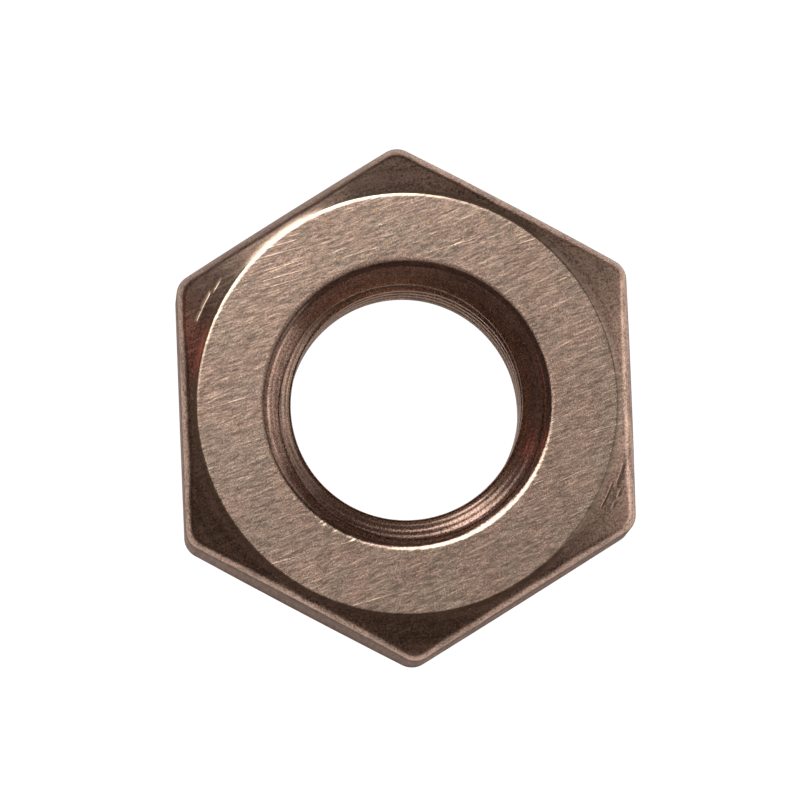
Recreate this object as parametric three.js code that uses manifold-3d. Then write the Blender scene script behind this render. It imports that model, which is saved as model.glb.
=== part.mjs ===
// M8 hex nut, 1.25 mm pitch, right-hand thread. Millimetres, +Z up along the bore axis, lying on
// its lower bearing face, with the corners on Y and two flats facing +X and -X.
import * as THREE from "three";
import { mergeVertices } from "three/addons/utils/BufferGeometryUtils.js";
import Module from "manifold-3d";

// Overall
const ACROSS_FLATS = 13; // wrench size
const THICKNESS = 6.5;
const EDGE_RADIUS = 0.6; // rounding of the six upright edges

// Chamfers on both ends
const CHAMFER_INSET = 0.4; // from the middle of a flat in to the edge of the bearing face
const CHAMFER_DEG = 30; // slope down from the bearing face

// Thread
const THREAD_MAJOR = 8; // diameter at the roots
const PITCH = 1.25;
const FLANK_DEG = 30; // each flank, from square to the axis
const CREST_FLAT = PITCH / 4; // width of the nut's own crests
const ROOT_FLAT = PITCH / 8;

// Countersinks at both ends of the bore
const COUNTERSINK_LAND = 0.1; // how far the mouth stands outside the thread roots
const COUNTERSINK_DEG = 90; // included angle

// Facets
const ROUND_SEGMENTS = 72;
const THREAD_SEGMENTS = 72;
const EDGE_SEGMENTS = 6;

const CUT_PAST = 1; // how far cutters run past the faces
const rad = THREE.MathUtils.degToRad;
const faceRadius = ACROSS_FLATS / 2 - CHAMFER_INSET;
const majorRadius = THREAD_MAJOR / 2;
const threadDepth = (PITCH - CREST_FLAT - ROOT_FLAT) / 2 / Math.tan(rad(FLANK_DEG));
const minorRadius = majorRadius - threadDepth;
const mouthRadius = majorRadius + COUNTERSINK_LAND;

const wasm = await Module();
wasm.setup();

// A closed three.js geometry as a solid, without its collapsed triangles.
function solid(geometry) {
  const bare = geometry.clone();
  bare.deleteAttribute("normal");
  bare.deleteAttribute("uv");
  const merged = mergeVertices(bare, 1e-4);
  const index = merged.index.array;
  const kept = [];
  for (let i = 0; i < index.length; i += 3) {
    const [a, b, c] = [index[i], index[i + 1], index[i + 2]];
    if (a !== b && b !== c && c !== a) kept.push(a, b, c);
  }
  return new wasm.Manifold(
    new wasm.Mesh({
      numProp: 3,
      vertProperties: merged.attributes.position.array,
      triVerts: new Uint32Array(kept),
    }),
  );
}

function geometryOf(made) {
  const mesh = made.getMesh();
  const geometry = new THREE.BufferGeometry();
  geometry.setAttribute("position", new THREE.BufferAttribute(mesh.vertProperties, mesh.numProp));
  geometry.setIndex(new THREE.BufferAttribute(mesh.triVerts, 1));
  geometry.computeVertexNormals();
  return geometry;
}

// A profile of [radius, height] pairs, listed upwards, turned about the bore axis.
function turned(profile) {
  const points = profile.map(([r, z]) => new THREE.Vector2(r, z));
  return new THREE.LatheGeometry(points, ROUND_SEGMENTS).rotateX(Math.PI / 2);
}

// The bar stock: a hexagon with rounded corners, the first of them on +Y.
function hexBar() {
  const toArc = (ACROSS_FLATS / 2 - EDGE_RADIUS) / Math.cos(Math.PI / 6);
  const shape = new THREE.Shape();
  for (let i = 0; i < 6; i++) {
    const middle = Math.PI / 2 + (i * Math.PI) / 3;
    const x = toArc * Math.cos(middle);
    const y = toArc * Math.sin(middle);
    shape.absarc(x, y, EDGE_RADIUS, middle - Math.PI / 6, middle + Math.PI / 6, false);
  }
  shape.closePath();
  return new THREE.ExtrudeGeometry(shape, {
    depth: THICKNESS,
    bevelEnabled: false,
    curveSegments: EDGE_SEGMENTS,
  });
}

// The turned blank that leaves both chamfers on the bar.
function chamferedBlank() {
  const outer = ACROSS_FLATS;
  const drop = (outer - faceRadius) * Math.tan(rad(CHAMFER_DEG));
  return turned([
    [0, 0],
    [faceRadius, 0],
    [outer, drop],
    [outer, Math.max(THICKNESS - drop, drop)],
    [faceRadius, THICKNESS],
    [0, THICKNESS],
  ]);
}

// The tap: a toothed rod whose rows climb one pitch in each turn. Rows that would pass an end of
// the rod gather on its rim, so both ends close flat.
function tap() {
  const low = -CUT_PAST;
  const high = THICKNESS + CUT_PAST;
  const toRoot = PITCH / 2 - ROOT_FLAT / 2;
  const points = [new THREE.Vector2(0, low)];
  for (let z = low - 2 * PITCH; z < high + PITCH; z += PITCH) {
    points.push(new THREE.Vector2(minorRadius, z - CREST_FLAT / 2));
    points.push(new THREE.Vector2(minorRadius, z + CREST_FLAT / 2));
    points.push(new THREE.Vector2(majorRadius, z + toRoot));
    points.push(new THREE.Vector2(majorRadius, z + PITCH - toRoot));
  }
  points.push(new THREE.Vector2(0, high));
  const geometry = new THREE.LatheGeometry(points, THREAD_SEGMENTS);
  const position = geometry.attributes.position;
  for (let i = 0; i <= THREAD_SEGMENTS; i++) {
    const climb = (PITCH * i) / THREAD_SEGMENTS;
    const angle = (2 * Math.PI * i) / THREAD_SEGMENTS;
    for (let j = 1; j < points.length - 1; j++) {
      const raised = points[j].y + climb;
      const inside = raised > low && raised < high;
      const r = inside ? points[j].x : minorRadius;
      const height = inside ? raised : THREE.MathUtils.clamp(raised, low, high);
      position.setXYZ(i * points.length + j, r * Math.sin(angle), height, r * Math.cos(angle));
    }
  }
  return geometry.rotateX(Math.PI / 2);
}

// A cone that opens the bore out to the mouth at one end: side 1 is the upper end, -1 the lower.
function countersink(side) {
  const slope = Math.tan(rad(COUNTERSINK_DEG / 2));
  const face = side > 0 ? THICKNESS : 0;
  const tip = face - (side * mouthRadius) / slope;
  const wide = mouthRadius + CUT_PAST * slope;
  const profile = [
    [0, tip],
    [wide, face + side * CUT_PAST],
    [0, face + side * CUT_PAST],
  ];
  return turned(side > 0 ? profile : profile.reverse());
}

const body = solid(hexBar())
  .intersect(solid(chamferedBlank()))
  .subtract(solid(tap()))
  .subtract(solid(countersink(1)))
  .subtract(solid(countersink(-1)));

const bronze = new THREE.MeshStandardMaterial({
  name: "bronze",
  color: 0x8c6e59,
  metalness: 1,
  roughness: 0.4,
});

const hexNut = new THREE.Mesh(geometryOf(body), bronze);
hexNut.name = "hex_nut";

const part = new THREE.Group();
part.name = "hex_nut_assembly";
part.add(hexNut);

export default part;
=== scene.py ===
"""A bronze M8 hex nut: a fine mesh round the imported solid, its finish, and a plain studio."""

import math

import bpy
import numpy as np
from bpy.props import FloatProperty, FloatVectorProperty, PointerProperty
from mathutils import Matrix, Vector


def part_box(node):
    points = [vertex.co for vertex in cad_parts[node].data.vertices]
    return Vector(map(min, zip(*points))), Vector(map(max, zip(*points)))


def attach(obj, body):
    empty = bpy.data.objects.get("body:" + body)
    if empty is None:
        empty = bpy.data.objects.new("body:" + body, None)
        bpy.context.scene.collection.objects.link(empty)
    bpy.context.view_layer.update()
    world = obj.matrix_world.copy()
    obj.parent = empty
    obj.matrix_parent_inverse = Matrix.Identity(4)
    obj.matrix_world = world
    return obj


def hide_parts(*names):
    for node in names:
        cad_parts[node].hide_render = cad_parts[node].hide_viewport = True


bl_info = {
    "name": "Hex nut",
    "version": (1, 0, 0),
    "blender": (4, 5, 0),
    "location": "3D View > Sidebar > Nut",
    "description": "Builds a threaded bronze hex nut and a small studio for it",
    "category": "Add Mesh",
}

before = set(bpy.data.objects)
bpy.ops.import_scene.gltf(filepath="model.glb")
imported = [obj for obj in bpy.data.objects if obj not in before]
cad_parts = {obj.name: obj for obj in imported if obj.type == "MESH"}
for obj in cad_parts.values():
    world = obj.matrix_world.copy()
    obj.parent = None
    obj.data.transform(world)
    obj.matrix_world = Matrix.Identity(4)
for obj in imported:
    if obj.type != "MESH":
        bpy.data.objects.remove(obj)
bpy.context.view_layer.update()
NUT_LOW, NUT_HIGH = (Vector(corner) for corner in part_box("hex_nut"))

MM = 0.001
WEAR_SEED = 8
FLAT_COUNT = 6
SECTOR = 2 * math.pi / FLAT_COUNT
CORNER_STEPS = 11  # columns across half of a rounded corner
FLAT_STEPS = 32  # columns over the rest of half a flat
CORNER_SPAN = math.radians(3.2)
CREST_SOFT = 0.06 * MM  # rounding of the thread's crests, its roots and its cut-off edges
ROOT_SOFT = 0.02 * MM
EDGE_SOFT = 0.045 * MM
THREAD_RUN_IN = 0.12 * MM  # depth over which the thread fades in below a mouth's rounding
THREAD_ROWS = 22  # rows of the mesh in one pitch of the thread
THREAD_SNAP = 0.012 * MM  # rows closer to a mouth than this end at the mouth
FLANK_SLOPE = math.sqrt(3)  # rise of a thread's flank at 30 degrees
FACE_ROWS = (0.02, 0.1, 0.5, 0.9, 0.98)  # where the mesh's rows lie across each surface
CHAMFER_ROWS = (0.04, 0.25, 0.5, 0.75, 0.96)
FLAT_ROWS = (0.04, 0.3, 0.7)


def length(name, text, default):
    return FloatProperty(name=name, description=text, default=default, unit="LENGTH", precision=6)


def share(name, text, default):
    return FloatProperty(
        name=name, description=text, default=default, min=0, max=1, subtype="FACTOR"
    )


def colour(name, text, default):
    return FloatVectorProperty(
        name=name, description=text, default=default, size=3, min=0, max=1, subtype="COLOR"
    )


def angle(name, text, degrees):
    return FloatProperty(
        name=name, description=text, default=math.radians(degrees), subtype="ANGLE"
    )


def strength(name, text, default):
    return FloatProperty(name=name, description=text, default=default, min=0)


class NutSizes(bpy.types.PropertyGroup):
    """The nut's own sizes."""

    across_flats: length("Across flats", "Wrench size", NUT_HIGH.x - NUT_LOW.x)
    thickness: length("Thickness", "Between the two bearing faces", NUT_HIGH.z - NUT_LOW.z)
    corner_radius: length("Corner radius", "Rounding of the upright edges", 0.6 * MM)
    chamfer_inset: length(
        "Chamfer inset", "From the middle of a flat in to the bearing face", 0.4 * MM
    )
    chamfer_slope: angle("Chamfer slope", "Fall of the chamfers below the faces", 30)
    rim_radius: length(
        "Rim radius", "Most rounding where a bearing face meets its chamfer", 0.28 * MM
    )
    shoulder_radius: length(
        "Shoulder radius", "Rounding where a chamfer meets a flat", 0.55 * MM
    )
    mouth_radius: length("Mouth radius", "Where the bore's conical mouth meets a face", 4.09 * MM)
    mouth_shift: length("Mouth shift", "How far the mouths are off centre", 0.05 * MM)
    mouth_slope: angle("Mouth slope", "Fall of the bore's mouths below the faces", 45)
    mouth_rounding: length("Mouth rounding", "Rounding where a face meets the mouth", 0.31 * MM)
    lapping_side: angle("Lapping side", "Side on which the outer rims are worn the most", 120)
    thread_radius: length("Thread radius", "From the axis to the thread's roots", 4.0 * MM)
    pitch: length("Pitch", "Climb of the thread in one turn", 1.25 * MM)
    thread_start: angle("Thread start", "How far the thread is turned about the axis", 0)


class NutFinish(bpy.types.PropertyGroup):
    """The metal's colours and wear."""

    rosy: colour("Rosy", "Where the skin is pinker", (0.59, 0.413, 0.323))
    olive: colour("Olive", "Where the skin is greyer", (0.55, 0.407, 0.317))
    tarnish: colour("Tarnish", "Brown bronze on chamfers and in the bore", (0.50, 0.335, 0.26))
    worn: colour("Worn", "Bare metal along the worn edges", (0.88, 0.70, 0.51))
    speck: colour("Speck", "Golden specks in the faces", (0.74, 0.50, 0.26))
    face_roughness: share("Face roughness", "How dull the bearing faces are", 0.255)
    chamfer_roughness: share("Chamfer roughness", "How dull the chamfers are", 0.29)
    bore_roughness: share("Bore roughness", "How dull the mouths and the thread are", 0.26)
    flat_roughness: share("Flat roughness", "How dull the wrench flats are", 0.55)
    # For the flats that are darkened as painted shade towards their ends.
    shaded_flat_roughness: share("Shaded flat roughness", "How dull the stained flats are", 0.95)
    rim_roughness: share("Rim roughness", "How dull the worn edges are", 0.14)
    scratch_depth: length("Scratch depth", "Depth of the fine scratches", 0.004 * MM)


class Studio(bpy.types.PropertyGroup):
    """The floor, the lights and the camera."""

    key_strength: strength("Key", "Key light", 4.15)
    low_strength: strength("Low", "Small low light beside the key", 2.1)
    side_strength: strength("Side", "Side light", 1.35)
    fill_strength: strength("Fill", "Broad light opposite the key", 0.25)
    ceiling_strength: strength("Ceiling", "Light from straight above", 0.18)
    back_strength: strength("Back", "Weak light on the far chamfers", 0.2)
    ember_strength: strength("Ember", "Small red light", 0.6)
    floor_strength: strength("Floor", "Light from above that reflections leave out", 1.5)
    room_strength: strength("Room", "Light of the room", 0.075)
    camera_height: length("Camera height", "From the nut's upper face to the camera", 429 * MM)
    picture_width: length("Picture width", "What the camera takes in at that face", 23.03 * MM)


# ---- the nut's mesh ----


def columns():
    """Angles of the mesh's columns about the axis, closer together at the corners."""
    near = np.linspace(0, CORNER_SPAN, CORNER_STEPS, endpoint=False)
    far = np.linspace(CORNER_SPAN, SECTOR / 2, FLAT_STEPS, endpoint=False)
    half = np.concatenate([near, far])
    corner = np.concatenate([-half[:0:-1], half, [SECTOR / 2]])
    starts = math.pi / 2 + SECTOR * np.arange(FLAT_COUNT)
    return (starts[:, None] + corner[None, :]).ravel()


def hexagon_radius(angles, across, rounding):
    """Distance from the axis to a hexagon with rounded corners, the first of them on +Y."""
    off = (angles - math.pi / 2 + SECTOR / 2) % SECTOR - SECTOR / 2
    straight = across / 2 / np.cos(SECTOR / 2 - np.abs(off))
    centre = (across / 2 - rounding) / math.cos(SECTOR / 2)
    beside = centre * np.sin(off)
    arc = centre * np.cos(off) + np.sqrt(np.maximum(rounding**2 - beside**2, 0))
    tangent = math.atan2(rounding * math.sin(SECTOR / 2), centre + rounding * math.cos(SECTOR / 2))
    return np.where(np.abs(off) < tangent, arc, straight)


def ripple(angles, rng, waves, low=5, high=60):
    """A smooth random number for each angle, about -1 to 1, the same after a full turn."""
    total = np.zeros_like(angles)
    for _ in range(waves):
        turns = int(rng.integers(low, high))
        total += np.sin(turns * angles + rng.uniform(0, 2 * math.pi))
    return total / math.sqrt(waves)


def outer_rows(sizes, angles, rng):
    """Rows of (radius, height over the middle plane) from the bore's mouth out to mid flat."""
    slope, mouth = sizes.chamfer_slope, sizes.mouth_slope
    half = sizes.thickness / 2
    flat = hexagon_radius(angles, sizes.across_flats, sizes.corner_radius)
    uneven = np.cos(angles - sizes.lapping_side)
    rim = sizes.rim_radius * (0.62 + 0.34 * uneven + 0.03 * ripple(angles, rng, 9, 9, 110))
    lip = sizes.mouth_rounding * (1 + 0.03 * ripple(angles, rng, 9, 9, 110))
    face_edge = sizes.across_flats / 2 - sizes.chamfer_inset
    rows = []
    rows.append((cone_radius(sizes, mouth_depth(sizes), angles), half - mouth_depth(sizes)))
    inner = cone_radius(sizes, 0, angles) + lip * math.tan(mouth / 2)
    for tilt in np.linspace(mouth, 0, 8):
        rows.append((inner - lip * math.sin(tilt), half - lip * (1 - math.cos(tilt))))
    outer = face_edge - rim * math.sin(slope)
    for part in FACE_ROWS:
        rows.append((inner + (outer - inner) * part, half))
    for tilt in np.linspace(0, slope, 7):
        rows.append((outer + rim * math.sin(tilt), half - rim * (1 - math.cos(tilt))))
    edge_drop = rim * (1 - math.cos(slope))
    shoulder = sizes.shoulder_radius * (1 + 0.05 * ripple(angles, rng, 7, 3, 30))
    start = flat - shoulder * (1 - math.sin(slope))
    start_height = half - edge_drop - (start - face_edge) * math.tan(slope)
    for part in CHAMFER_ROWS:
        radius = face_edge + (start - face_edge) * part
        rows.append((radius, half - edge_drop - (radius - face_edge) * math.tan(slope)))
    centre = flat - shoulder
    centre_height = start_height - shoulder * math.cos(slope)
    for tilt in np.linspace(slope, math.pi / 2, 9):
        rows.append((
            centre + shoulder * math.sin(tilt), centre_height + shoulder * math.cos(tilt)
        ))
    for part in FLAT_ROWS:
        rows.append((flat, centre_height * (1 - part)))
    return rows


def mouth_depth(sizes):
    """A depth below a face where its rounding has turned into the mouth's cone."""
    return 1.3 * sizes.mouth_rounding * (1 - math.cos(sizes.mouth_slope))


def cone_radius(sizes, depth, angles):
    """The mouths' radius at a depth. They are off centre, away from the lapping side."""
    centred = sizes.mouth_radius - depth / math.tan(sizes.mouth_slope)
    return centred - sizes.mouth_shift * np.cos(angles - sizes.lapping_side)


def soft_max(first, second, soft):
    """The greater of two lengths, with the change between them rounded."""
    return soft * np.logaddexp(first / soft, second / soft)


def bore_radius(sizes, heights, angles):
    """The bore's radius, where a thread with rounded crests runs out into the two cones."""
    pitch = sizes.pitch
    crest_half, root_half = pitch / 8, pitch / 16
    groove = (pitch / 2 - root_half - crest_half) * FLANK_SLOPE
    crest = sizes.thread_radius - groove
    turn = (heights / pitch - (angles + sizes.thread_start) / (2 * math.pi)) % 1
    from_crest = np.minimum(turn, 1 - turn) * pitch
    rise = soft_max((from_crest - crest_half) * FLANK_SLOPE, 0, CREST_SOFT)
    thread = crest + groove - soft_max(groove - rise, 0, ROOT_SOFT)
    depth = sizes.thickness / 2 - np.abs(heights)
    cone = cone_radius(sizes, depth, angles)
    begun = np.clip((depth - mouth_depth(sizes)) / THREAD_RUN_IN, 0, 1) ** 2
    return cone + begun * (soft_max(thread, cone, EDGE_SOFT) - cone)


class MeshRows:
    """Vertices in rows and columns about the axis, and the faces between them."""

    def __init__(self, angles):
        self.angles = angles
        self.points = []
        self.faces = []
        self.count = 0

    def add(self, radius, height, angles=None):
        angles = self.angles if angles is None else angles
        radius = np.broadcast_to(radius, angles.shape)
        height = np.broadcast_to(height, angles.shape)
        self.points.append(np.stack([radius * np.cos(angles), radius * np.sin(angles), height], 1))
        first = self.count
        self.count += len(angles)
        return np.arange(first, self.count)

    def join(self, low, high):
        """Faces between two full rows of the same length."""
        quads = np.stack([low, np.roll(low, -1), np.roll(high, -1), high], 1)
        self.faces.extend(quads.tolist())

    def mesh(self, name):
        made = bpy.data.meshes.new(name)
        made.from_pydata(np.concatenate(self.points).tolist(), [], self.faces)
        made.validate()
        made.shade_smooth()
        return made


def add_bore(rows, sizes, low_mouth, high_mouth):
    """Rows that climb with the thread. A row ends where it meets a mouth."""
    angles = rows.angles
    climb = sizes.pitch * (angles - angles[0]) / (2 * math.pi)
    limit = sizes.thickness / 2 - mouth_depth(sizes)
    step = sizes.pitch / THREAD_ROWS
    steps = math.ceil(limit / step) + THREAD_ROWS
    lows = step * np.arange(-steps - THREAD_ROWS, steps)
    index = np.empty((len(lows), len(angles)), int)
    for row, low in enumerate(lows):
        z = low + climb
        radius = bore_radius(sizes, z, angles)
        index[row] = np.where(z <= 0, low_mouth, high_mouth)
        inside = np.abs(z) < limit - THREAD_SNAP
        index[row, inside] = rows.add(radius[inside], z[inside], angles[inside])
    for row in range(len(lows) - THREAD_ROWS - 1):
        here, above = index[row], index[row + 1]
        next_here = np.append(here[1:], index[row + THREAD_ROWS, 0])
        next_above = np.append(above[1:], index[row + 1 + THREAD_ROWS, 0])
        for corners in zip(here, above, next_above, next_here):
            face = list(dict.fromkeys(int(c) for c in corners))
            if len(face) > 2:
                rows.faces.append(face)


def nut_mesh(sizes):
    """Both ends of the nut, the flats between them and the threaded bore, as one closed mesh."""
    rng = np.random.default_rng(WEAR_SEED)
    angles = columns()
    rows = MeshRows(angles)
    mouths, skirts = [], []
    for side in (-1, 1):
        section = outer_rows(sizes, angles, rng)
        made = [rows.add(radius, side * height) for radius, height in section]
        for near, far in zip(made, made[1:]):
            rows.join(far, near) if side > 0 else rows.join(near, far)
        mouths.append(made[0])
        skirts.append(made[-1])
    rows.join(skirts[0], skirts[1])
    add_bore(rows, sizes, mouths[0], mouths[1])
    mesh = rows.mesh("hex_nut_metal")
    mesh.transform(Matrix.Translation((0, 0, sizes.thickness / 2)))
    return mesh


# ---- materials ----


LAY = math.radians(15)  # the way that the lapped faces' grain runs
RIDGE_TURNS = 37  # how closely the bore's tool marks follow each other
OUTSIDE_FROM = 5.5  # distances from the axis in mm: the chamfers and flats,
BORE_WITHIN = 4.5  # the mouths and the thread,
CREST_WITHIN = 3.56  # the thread's crests,
BURR_RADIUS = 4.22  # and the small burrs beside a mouth

# Arcs scored into the upper chamfers: distance from the axis in mm, bearing and half span in
# degrees, half width in mm, and 1 for a raised burr or -1 for a dark scuff.
NICKS = (
    (6.53, 152.5, 4.2, 0.040, 1),
    (6.46, 146.2, 1.6, 0.035, 1),
    (6.50, -20.5, 3.0, 0.045, -1),
    (6.66, -26.5, 2.6, 0.040, -1),
    (6.36, -27.0, 3.5, 0.030, -1),
)


class Value:
    """A socket whose arithmetic adds Math nodes."""

    def __init__(self, shader, socket):
        self.shader = shader
        self.socket = socket

    def math(self, operation, *inputs):
        return self.shader.node("ShaderNodeMath", {"operation": operation}, *inputs)

    def __add__(self, other):
        return self.math("ADD", self, other)

    def __radd__(self, other):
        return self.math("ADD", other, self)

    def __sub__(self, other):
        return self.math("SUBTRACT", self, other)

    def __rsub__(self, other):
        return self.math("SUBTRACT", other, self)

    def __mul__(self, other):
        return self.math("MULTIPLY", self, other)

    def __rmul__(self, other):
        return self.math("MULTIPLY", other, self)

    def __truediv__(self, other):
        return self.math("DIVIDE", self, other)

    def __rtruediv__(self, other):
        return self.math("DIVIDE", other, self)

    def __pow__(self, other):
        return self.math("POWER", self, other)

    def __rpow__(self, other):
        return self.math("POWER", other, self)

    def __abs__(self):
        return self.math("ABSOLUTE", self)

    def sine(self):
        return self.math("SINE", self)

    def above(self, edge, soft):
        """0 below edge - soft and 1 above edge + soft."""
        return self.shader.node(
            "ShaderNodeMapRange",
            {"interpolation_type": "SMOOTHSTEP"},
            self, edge - soft, edge + soft,
        )


class Shader:
    """A material's node tree."""

    def __init__(self, name):
        self.material = bpy.data.materials.new(name)
        self.material.use_nodes = True
        self.tree = self.material.node_tree
        self.tree.nodes.clear()

    def node(self, kind, settings=None, *inputs, output=0, **named):
        """A new node's output. Settings come first, then its sockets by place or by name."""
        made = self.tree.nodes.new(kind)
        for key, value in (settings or {}).items():
            setattr(made, key, value)
        pairs = [(made.inputs[i], value) for i, value in enumerate(inputs) if value is not None]
        pairs += [(made.inputs[key.replace("_", " ")], value) for key, value in named.items()]
        for socket, value in pairs:
            if isinstance(value, Value):
                self.tree.links.new(value.socket, socket)
            else:
                socket.default_value = value
        return Value(self, made.outputs[output]) if made.outputs else None

    def mix(self, factor, first, second, blend="MIX"):
        """Two colours mixed."""
        tones = [(*tone, 1) if isinstance(tone, tuple) else tone for tone in (first, second)]
        not_colours = [None] * 5  # the sockets between the factor and the two colours
        return self.node(
            "ShaderNodeMix", {"data_type": "RGBA", "blend_type": blend},
            factor, *not_colours, *tones, output=2,
        )

    def noise(self, where, scale, detail=2.0, roughness=0.5):
        return self.node(
            "ShaderNodeTexNoise", {"noise_dimensions": "3D"},
            Vector=where, Scale=scale, Detail=detail, Roughness=roughness,
        )

    def stretched(self, where, turn, stretch):
        """Coordinates turned about Z, then scaled."""
        return self.node(
            "ShaderNodeMapping", {"vector_type": "TEXTURE"},
            Vector=where, Rotation=(0, 0, turn), Scale=tuple(1 / part for part in stretch),
        )

    def dashes(self, where, turn, along, across, width, amount):
        """Short straight strokes, one in some of the cells of a stretched cell pattern."""
        cell = self.node(
            "ShaderNodeTexVoronoi", {"voronoi_dimensions": "2D"},
            Vector=self.stretched(where, turn, (along, across, 1.0)), Scale=1.0,
        )
        chance = self.node(
            "ShaderNodeSeparateColor", None, Value(self, cell.socket.node.outputs["Color"])
        )
        return (1 - cell.above(width, 0.6 * width)) * (1 - chance.above(amount, 0.1 * amount))

    def vector(self, x, y, z):
        return self.node("ShaderNodeCombineXYZ", None, x, y, z)

    def finish(self, **sockets):
        surface = self.node("ShaderNodeBsdfPrincipled", None, **sockets)
        self.node("ShaderNodeOutputMaterial", None, Surface=surface)
        return self.material


def shade(tone, strength):
    return tuple(min(1.0, strength * part) for part in tone)


def bronze(sizes, finish):
    """Lapped faces, turned chamfers, drawn flats and a tapped bore, all of one metal."""
    s = Shader("silicon_bronze")
    local = s.node("ShaderNodeTexCoord", None, output=3)
    mm = s.node("ShaderNodeVectorMath", {"operation": "SCALE"}, local, Scale=1 / MM)
    parts = s.node("ShaderNodeSeparateXYZ", None, mm).socket.node.outputs
    x, y, z = (Value(s, part) for part in parts)
    radius = (x * x + y * y) ** 0.5
    half = sizes.thickness / 2 / MM
    height = abs(z - half)
    lapped = height.above(half - 0.010, 0.006)
    edges = height.above(half - 0.06, 0.05)
    near_face = edges * radius.above(sizes.mouth_radius / MM + 0.1, 0.05)

    def toward(bearing, span, soft=0.0008):
        """1 within a span of a bearing about the axis, both in degrees."""
        turn = math.radians(bearing)
        ahead = (x * math.cos(turn) + y * math.sin(turn)) / radius
        return ahead.above(math.cos(math.radians(span)), soft)

    # The lapped faces: fine grain and short strokes that run one way.
    grain = s.noise(s.stretched(mm, LAY, (1.8, 9.0, 1.0)), 1.0, 2.0, 0.6)
    streak = s.noise(s.stretched(mm, LAY + 0.1, (4.5, 18.0, 1.0)), 1.0, 1.0, 0.5)
    fine = s.noise(mm, 18.0, 2.0, 0.7)
    short = s.dashes(mm, LAY + 0.03, 1.1, 9.0, 0.24, 0.5)
    middling = s.dashes(mm, LAY + 0.15, 0.6, 8.0, 0.24, 0.32)
    dark = s.dashes(mm, LAY - 0.08, 0.8, 8.0, 0.24, 0.35)
    long = s.dashes(mm, LAY - 0.02, 0.4, 14.0, 0.26, 0.04)
    bright = short * 0.5 + middling * 0.6 + long * 0.8
    patch = s.noise(mm, 1.0, 1.0, 0.5)
    skin = s.mix((patch - 0.5) * 4.0 + 0.5, tuple(finish.rosy), tuple(finish.olive))
    tone = (grain - 0.5) * 0.9 + (streak - 0.5) * 1.8 + (fine - 0.5) * 1.4 - dark * 0.12 + 0.5
    face = s.mix(1.0, skin, s.mix(tone, (0.58, 0.58, 0.58), (1.42, 1.42, 1.42)), "MULTIPLY")
    face = s.mix(bright * 0.45, face, tuple(finish.worn))
    pits = s.dashes(mm, LAY, 1.4, 1.7, 0.08, 0.15)
    face = s.mix(pits * 0.7, face, tuple(finish.speck))

    upright = s.node("ShaderNodeSeparateXYZ", None, s.node("ShaderNodeTexCoord", None, output=1))
    tilt = abs(Value(s, upright.socket.node.outputs["Z"]))
    outside = radius.above(OUTSIDE_FROM, 0.5)
    flats = (1 - tilt.above(0.25, 0.12)) * outside
    blotch = s.noise(mm, 1.6, 3.0, 0.6)
    # Painted shade: the flats are darkened, most towards both ends and unevenly through random
    # blotches; the same mask makes them duller.
    shaded = flats * (height.above(half - 1.4, 1.4) * 0.3 + (blotch - 0.5) * 0.5 + 0.5)

    # Turned lines round the chamfers and the bore, drawn lines down the flats.
    round_axis = s.vector(x / radius * 1.4, y / radius * 1.4, radius * 9 + z * 9)
    turned = s.noise(round_axis, 1.0, 2.0, 0.6)
    drawn = s.noise(s.vector(x * 8, y * 8, z * 0.4), 1.0, 2.0, 0.6)
    lines = turned * (1 - flats) + drawn * flats
    dull = (lines - 0.5) * 1.4 + (fine - 0.5) * 3.0 + (blotch - 0.5) * 0.8 + 0.5
    brown = s.mix(dull, shade(finish.tarnish, 0.45), shade(finish.tarnish, 1.55))
    brown = s.mix(shaded * 0.75, brown, shade(finish.tarnish, 0.3))
    inside = 1 - radius.above(BORE_WITHIN, 0.3)
    flanks = inside * tilt.above(0.79, 0.04)
    brown = s.mix(inside, brown, s.mix(1.0, brown, (0.90, 0.87, 0.88), "MULTIPLY"))
    crests = 1 - radius.above(CREST_WITHIN, 0.1)
    brown = s.mix(crests * 0.15, brown, tuple(finish.worn))
    # Painted shade: the chamfers on the key light's side, about bearing 122 degrees, are darkened.
    brown = s.mix(toward(122, 32, 0.1) * outside * 0.6, brown, shade(finish.tarnish, 0.35))
    brown = s.mix(bright * outside * tilt.above(0.75, 0.1) * 0.4, brown, tuple(finish.worn))
    # Painted shade: a dark line along the shoulders where their rounding leans about 37 degrees, on
    # the half towards bearing 140 degrees.
    shoulder_shade = (1 - abs(tilt - 0.80).above(0.045, 0.015)) * outside * toward(140, 85, 0.2)
    brown = s.mix(shoulder_shade * 0.45, brown, shade(finish.tarnish, 0.25))
    nicked = 0.0
    for far, bearing, span, width, raised in NICKS:
        arc = 1 - abs(radius - far).above(width, 0.6 * width)
        arc = arc * toward(bearing, span) * z.above(half, 0.1) * blotch.above(0.40, 0.06)
        brown = s.mix(arc, brown, tuple(finish.worn) if raised > 0 else shade(finish.tarnish, 0.4))
        nicked = arc * raised + nicked

    # Small burrs along one side of the mouth.
    chips = s.dashes(mm, LAY + 0.25, 2.0, 8.0, 0.3, 0.55) * toward(-130, 24, 0.03)
    chips = chips * (1 - abs(radius - BURR_RADIUS).above(0.08, 0.05)) * z.above(half, 0.1)

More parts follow.
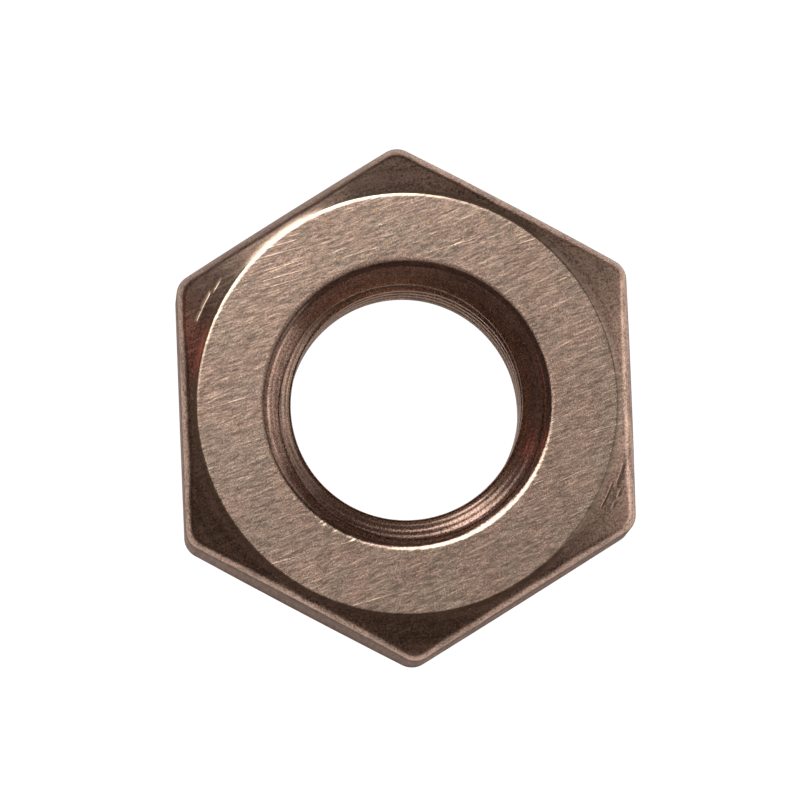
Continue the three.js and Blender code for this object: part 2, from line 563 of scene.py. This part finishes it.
    base = s.mix(near_face, brown, face)
    base = s.mix(
        (near_face - lapped) * (toward(125, 70, 0.2) * 0.5 + 0.15) + chips, base, tuple(finish.worn)
    )
    ridges = (radius * RIDGE_TURNS).sine() * flanks * (1 - edges)
    depth = near_face * (grain * 0.3 + streak * 0.35 + bright * 0.55 - dark * 0.2) + fine * 0.2
    depth = depth + lines * 0.25 + nicked * 3.5 + chips + ridges * 1.3
    bump = s.node(
        "ShaderNodeBump", None,
        Strength=0.6, Distance=finish.scratch_depth, Height=depth,
    )
    rough = (
        lapped * finish.face_roughness + (edges - lapped) * finish.rim_roughness
        + (1 - edges) * (
            finish.chamfer_roughness
            + flats * (finish.flat_roughness - finish.chamfer_roughness)
            + shaded * (finish.shaded_flat_roughness - finish.flat_roughness)
            + inside * (finish.bore_roughness - finish.chamfer_roughness)
        ) + (fine - 0.5) * 0.12
    )
    return s.finish(Base_Color=base, Metallic=1.0, Roughness=rough, Normal=bump)


def plain(name, tone, light):
    """A pale matt surface that gives light of its own."""
    s = Shader(name)
    return s.finish(
        Base_Color=(tone, tone, tone, 1), Roughness=0.9,
        Emission_Color=(1, 1, 1, 1), Emission_Strength=light,
    )


# ---- the studio ----


CAMERA_LEAN = (1.32, -3.29, 2.16)  # degrees that the nut is turned about Y, X and Z for the view
CAMERA_OFFSET = (-0.2 * MM, 0.087 * MM)  # from the face's middle to the middle of the view
DISH_RADIUS = 0.8
DISH_RISE = 0.06
BACKDROP_DROP = 0.0002  # how far the backdrop lies below the table
ROOM_TINT = (1.0, 0.77, 0.67, 1)
WHITE = (1, 1, 1)
EMBER = (1.0, 0.14, 0.12)

# Azimuth and elevation in degrees, distance and size in metres, tint, and the radiance's setting.
LIGHTS = (
    ("key", 114, 60, 0.21, (0.145, 0.145), WHITE, "key_strength"),
    ("low", 121, 30, 0.4, (0.14, 0.14), WHITE, "low_strength"),
    ("side", -4, 6, 0.4, (0.42, 0.26), WHITE, "side_strength"),
    ("fill", -5, 42, 0.4, (0.45, 0.28), WHITE, "fill_strength"),
    ("ceiling", 0, 90, 0.5, (0.35, 0.35), WHITE, "ceiling_strength"),
    ("back", 30, 27, 0.4, (0.25, 0.2), WHITE, "back_strength"),
    ("ember", 159, 25, 0.4, (0.055, 0.10), EMBER, "ember_strength"),
    ("above", 0, 90, 0.5, (0.6, 0.6), WHITE, "floor_strength"),
)


def add_object(name, data):
    made = bpy.data.objects.new(name, data)
    bpy.context.scene.collection.objects.link(made)
    return made


def dish(name, radius, rise, height=0.0):
    """A round floor whose rim curls up."""
    rows = MeshRows(np.linspace(0, 2 * math.pi, 96, endpoint=False))
    centre = rows.add(np.array([0.0]), np.array([height]), np.array([0.0]))[0]
    made = [rows.add(radius * part, height) for part in (0.05, 0.3, 0.8)]
    for turn in np.linspace(0, math.pi / 2, 7)[1:]:
        made.append(rows.add(
            radius * 0.8 + radius * 0.2 * math.sin(turn), height + rise * (1 - math.cos(turn))
        ))
    for low, high in zip(made, made[1:]):
        rows.join(low[::-1], high[::-1])
    for first, second in zip(made[0], np.roll(made[0], -1)):
        rows.faces.append([int(centre), int(first), int(second)])
    return add_object(name, rows.mesh(name))


def softbox(name, azimuth, elevation, distance, size, tint, radiance):
    """A round area light that faces the nut and isn't seen itself. Its angles are in radians."""
    data = bpy.data.lights.new(name, "AREA")
    data.shape = "ELLIPSE"
    data.size, data.size_y = size
    area = math.pi / 4 * size[0] * size[1]
    data.energy = radiance * math.pi * area
    data.color = tint
    lamp = add_object(name, data)
    away = Vector((
        math.cos(elevation) * math.cos(azimuth),
        math.cos(elevation) * math.sin(azimuth),
        math.sin(elevation),
    ))
    lamp.location = away * distance
    lamp.rotation_euler = away.to_track_quat("Z", "Y").to_euler()
    lamp.visible_camera = False
    return lamp


def look_down(studio, sizes):
    """A long lens almost straight above, leaning a little towards one lower corner."""
    data = bpy.data.cameras.new("camera")
    data.sensor_width = 36
    data.lens = data.sensor_width * studio.camera_height / studio.picture_width
    data.clip_start = 0.01
    data.clip_end = 20
    camera = add_object("camera", data)
    about_y, about_x, about_z = (math.radians(degrees) for degrees in CAMERA_LEAN)
    lean = Matrix.Rotation(about_y, 3, "Y") @ Matrix.Rotation(about_x, 3, "X")
    turn = (lean @ Matrix.Rotation(about_z, 3, "Z")).transposed()
    offset = Vector((*CAMERA_OFFSET, studio.camera_height))
    top = Vector((0, 0, sizes.thickness))
    camera.matrix_world = Matrix.Translation(top + turn @ offset) @ turn.to_4x4()
    bpy.context.scene.camera = camera


class NUT_OT_add_nut(bpy.types.Operator):
    """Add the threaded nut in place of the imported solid"""

    bl_idname = "nut.add_nut"
    bl_label = "Add nut"

    def execute(self, context):
        scene = context.scene
        nut = add_object("hex_nut_metal", nut_mesh(scene.nut_sizes))
        nut.data.materials.append(bronze(scene.nut_sizes, scene.nut_finish))
        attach(nut, "root")
        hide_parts("hex_nut")
        return {"FINISHED"}


class NUT_OT_add_studio(bpy.types.Operator):
    """Add the floor, the lights and the camera"""

    bl_idname = "nut.add_studio"
    bl_label = "Add studio"

    def execute(self, context):
        scene = context.scene
        studio = scene.nut_studio
        seen = dish("backdrop", DISH_RADIUS, DISH_RISE, -BACKDROP_DROP)
        seen.data.materials.append(plain("backdrop_white", 0.0, 1.05))
        seen.visible_glossy = False
        seen.visible_diffuse = False
        seen.visible_shadow = False
        table = dish("table", DISH_RADIUS, DISH_RISE)
        table.data.materials.append(plain("table_white", 0.8, 0.08))
        table.visible_camera = False
        for name, azimuth, elevation, distance, size, tint, setting in LIGHTS:
            lamp = softbox(
                name, math.radians(azimuth), math.radians(elevation), distance, size, tint,
                getattr(studio, setting),
            )
            lamp.visible_glossy = name != "above"
        world = bpy.data.worlds.new("room")
        world.use_nodes = True
        background = world.node_tree.nodes["Background"]
        background.inputs["Color"].default_value = ROOM_TINT
        background.inputs["Strength"].default_value = studio.room_strength
        scene.world = world
        scene.view_settings.view_transform = "Standard"
        scene.view_settings.look = "None"
        look_down(studio, scene.nut_sizes)
        return {"FINISHED"}


class NUT_PT_panel(bpy.types.Panel):
    """The nut and its studio in the sidebar"""

    bl_label = "Hex nut"
    bl_idname = "NUT_PT_panel"
    bl_space_type = "VIEW_3D"
    bl_region_type = "UI"
    bl_category = "Nut"

    def draw(self, context):
        scene = context.scene
        for settings in (scene.nut_sizes, scene.nut_finish, scene.nut_studio):
            for name in settings.__annotations__:
                self.layout.prop(settings, name)
        self.layout.operator(NUT_OT_add_nut.bl_idname)
        self.layout.operator(NUT_OT_add_studio.bl_idname)


CLASSES = (
    NutSizes, NutFinish, Studio, NUT_OT_add_nut, NUT_OT_add_studio, NUT_PT_panel,
)


def register():
    for cls in CLASSES:
        bpy.utils.register_class(cls)
    bpy.types.Scene.nut_sizes = PointerProperty(type=NutSizes)
    bpy.types.Scene.nut_finish = PointerProperty(type=NutFinish)
    bpy.types.Scene.nut_studio = PointerProperty(type=Studio)


def unregister():
    del bpy.types.Scene.nut_sizes
    del bpy.types.Scene.nut_finish
    del bpy.types.Scene.nut_studio
    for cls in reversed(CLASSES):
        bpy.utils.unregister_class(cls)


def main():
    register()
    bpy.ops.nut.add_nut()
    bpy.ops.nut.add_studio()


if __name__ == "__main__":
    main()
